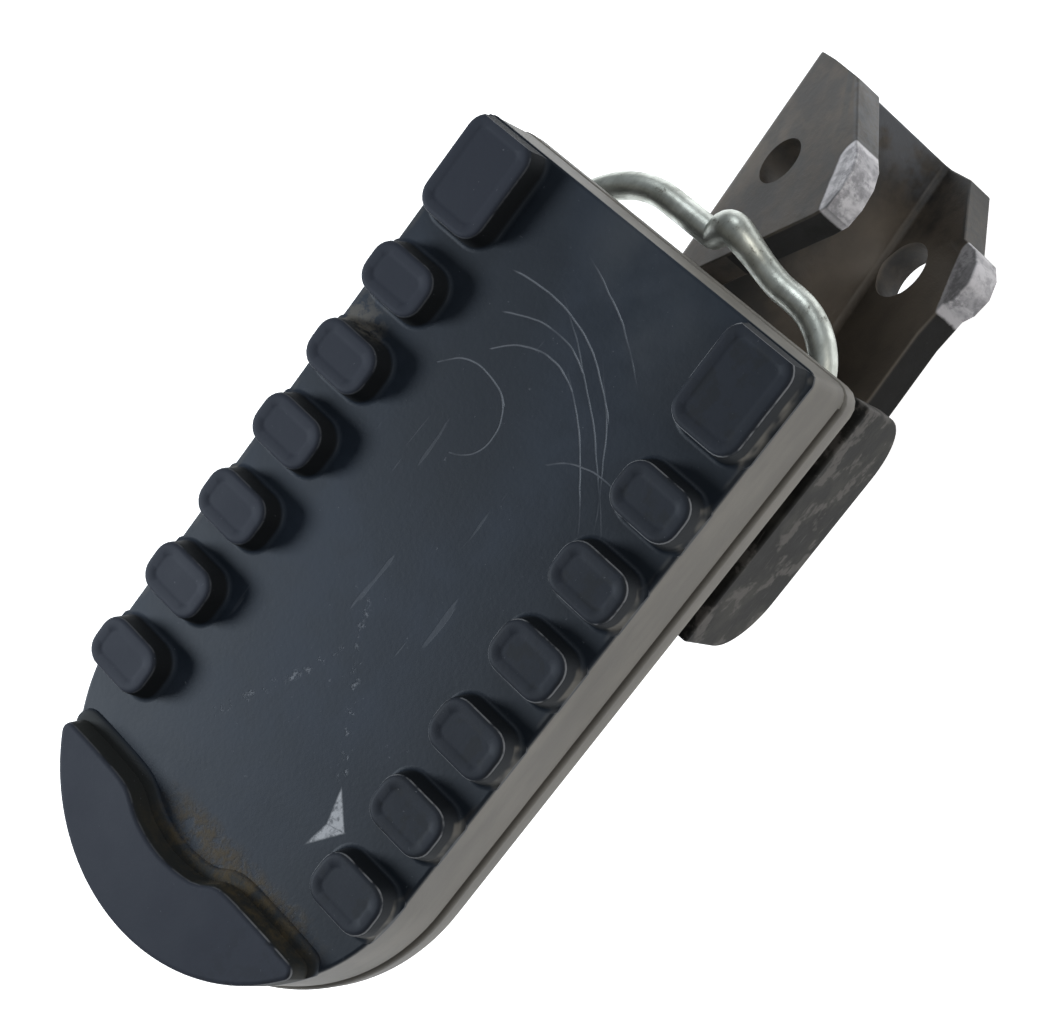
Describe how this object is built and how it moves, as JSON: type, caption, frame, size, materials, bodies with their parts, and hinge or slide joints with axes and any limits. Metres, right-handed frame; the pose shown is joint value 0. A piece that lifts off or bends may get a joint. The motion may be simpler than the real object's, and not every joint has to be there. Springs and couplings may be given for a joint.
{
  "type": "motorcycle foot peg",
  "caption": "Motorcycle foot peg: rubber tread pad on a steel platform, wire retaining clip and an inclined steel clevis with pivot bores.",
  "frame": {"origin": "centre of the pivot bore in the clevis's upper ear, at half of the ear's thickness", "axes": "+X outboard along the peg, +Z the upward normal of the pad's tread, +Y across the pad towards the side plate"},
  "size_m": [0.1595, 0.066, 0.075],
  "materials": {
    "rubber": "moulded blue-black rubber, semi-gloss with scuffs",
    "dark_steel": "worn brown-black paint on thick steel plate",
    "side_steel": "dark grey paint, mottled with scuffs",
    "hidden_steel": "black paint",
    "zinc": "bright zinc plate with a faint green cast",
    "weld": "painted weld bead"
  },
  "bodies": {
    "peg": {"rubber_pad": "rubber", "pad_core_plate": "hidden_steel", "locking_stud_1": "zinc", "locking_stud_2": "zinc", "locking_stud_3": "zinc", "locking_stud_4": "zinc", "platform_plate": "hidden_steel", "side_plate": "side_steel", "gusset_plate": "hidden_steel", "center_rib": "hidden_steel", "clevis_upper_ear": "dark_steel", "clevis_lower_ear": "dark_steel", "clevis_web": "dark_steel", "clip_guide_left": "hidden_steel", "clip_guide_right": "hidden_steel", "weld_side_plate": "weld", "weld_gusset": "weld", "weld_rib": "weld", "weld_channel": "weld"},
    "clip": {"retaining_clip": "zinc"}
  },
  "joints": [
    {"name": "clip_slide", "type": "slide", "parent": "peg", "child": "clip", "axis": [-1, 0, 0], "range_m": [0, 0.05]}
  ]
}
